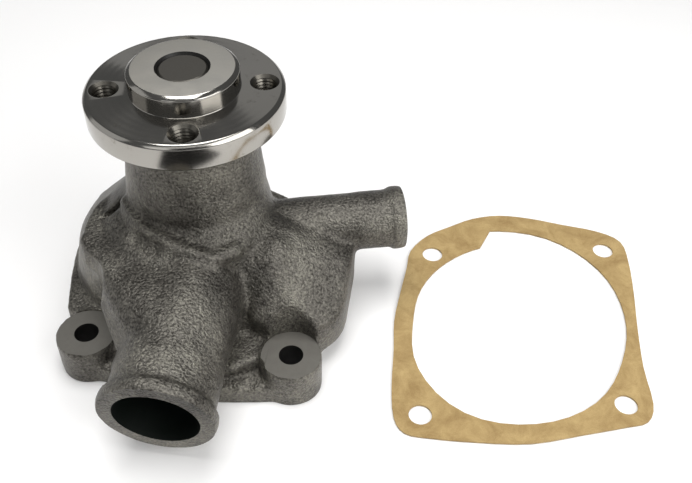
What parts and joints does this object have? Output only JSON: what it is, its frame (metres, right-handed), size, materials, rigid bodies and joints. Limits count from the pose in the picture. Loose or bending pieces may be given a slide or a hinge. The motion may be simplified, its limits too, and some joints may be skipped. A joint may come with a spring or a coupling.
{
  "type": "water pump",
  "caption": "Belt-driven engine coolant pump: cast housing with inlet and bypass hose stubs, drive flange on a ball-bearing shaft, face seal, vaned impeller and loose mounting gasket.",
  "frame": {"origin": "on the shaft's axis, in the plane of the mounting face that bolts to the engine", "axes": "+Z along the shaft towards the drive flange, +X along the front pair of bolt holes towards the bypass stub's side, -Y towards the inlet stub's mouth"},
  "size_m": [0.2642, 0.1663, 0.1184],
  "materials": {
    "casting": "sand cast, with machined spot faces and bores",
    "turned_steel": "turned and polished",
    "ground_steel": "ground",
    "bearing_steel": "polished",
    "cage_nylon": "moulded",
    "seal_rubber": "moulded",
    "seal_brass": "pressed",
    "spring_steel": "drawn wire",
    "carbon": "lapped",
    "ceramic": "lapped",
    "iron": "sand cast",
    "paper": "pressed fibre"
  },
  "bodies": {
    "pump_body": {"housing": "casting", "bearing_outer_ring": "bearing_steel", "bearing_seal_front": "seal_rubber", "bearing_seal_rear": "seal_rubber", "seal_case": "seal_brass", "seal_bellows": "seal_rubber", "seal_spring": "spring_steel", "seal_retainer": "spring_steel", "seal_carbon": "carbon", "gasket": "paper"},
    "rotor": {"drive_flange": "turned_steel", "shaft": "ground_steel", "slinger": "seal_brass", "impeller": "iron", "seal_seat": "ceramic", "seal_seat_boot": "seal_rubber"},
    "front_ball_set": {"front_balls": "bearing_steel", "front_cage": "cage_nylon"},
    "rear_ball_set": {"rear_balls": "bearing_steel", "rear_cage": "cage_nylon"}
  },
  "joints": [
    {"name": "shaft_spin", "type": "hinge", "parent": "pump_body", "child": "rotor", "pos_m": [0, 0, 0.0755], "axis": [0, 0, 1], "continuous": true},
    {"name": "front_ball_orbit", "type": "hinge", "parent": "pump_body", "child": "front_ball_set", "pos_m": [0, 0, 0.08534], "axis": [0, 0, 1], "continuous": true},
    {"name": "rear_ball_orbit", "type": "hinge", "parent": "pump_body", "child": "rear_ball_set", "pos_m": [0, 0, 0.06566], "axis": [0, 0, 1], "continuous": true}
  ],
  "couplings": [
    {"joint": "front_ball_orbit", "follows": "shaft_spin", "ratio": 0.3474},
    {"joint": "rear_ball_orbit", "follows": "shaft_spin", "ratio": 0.3474}
  ]
}
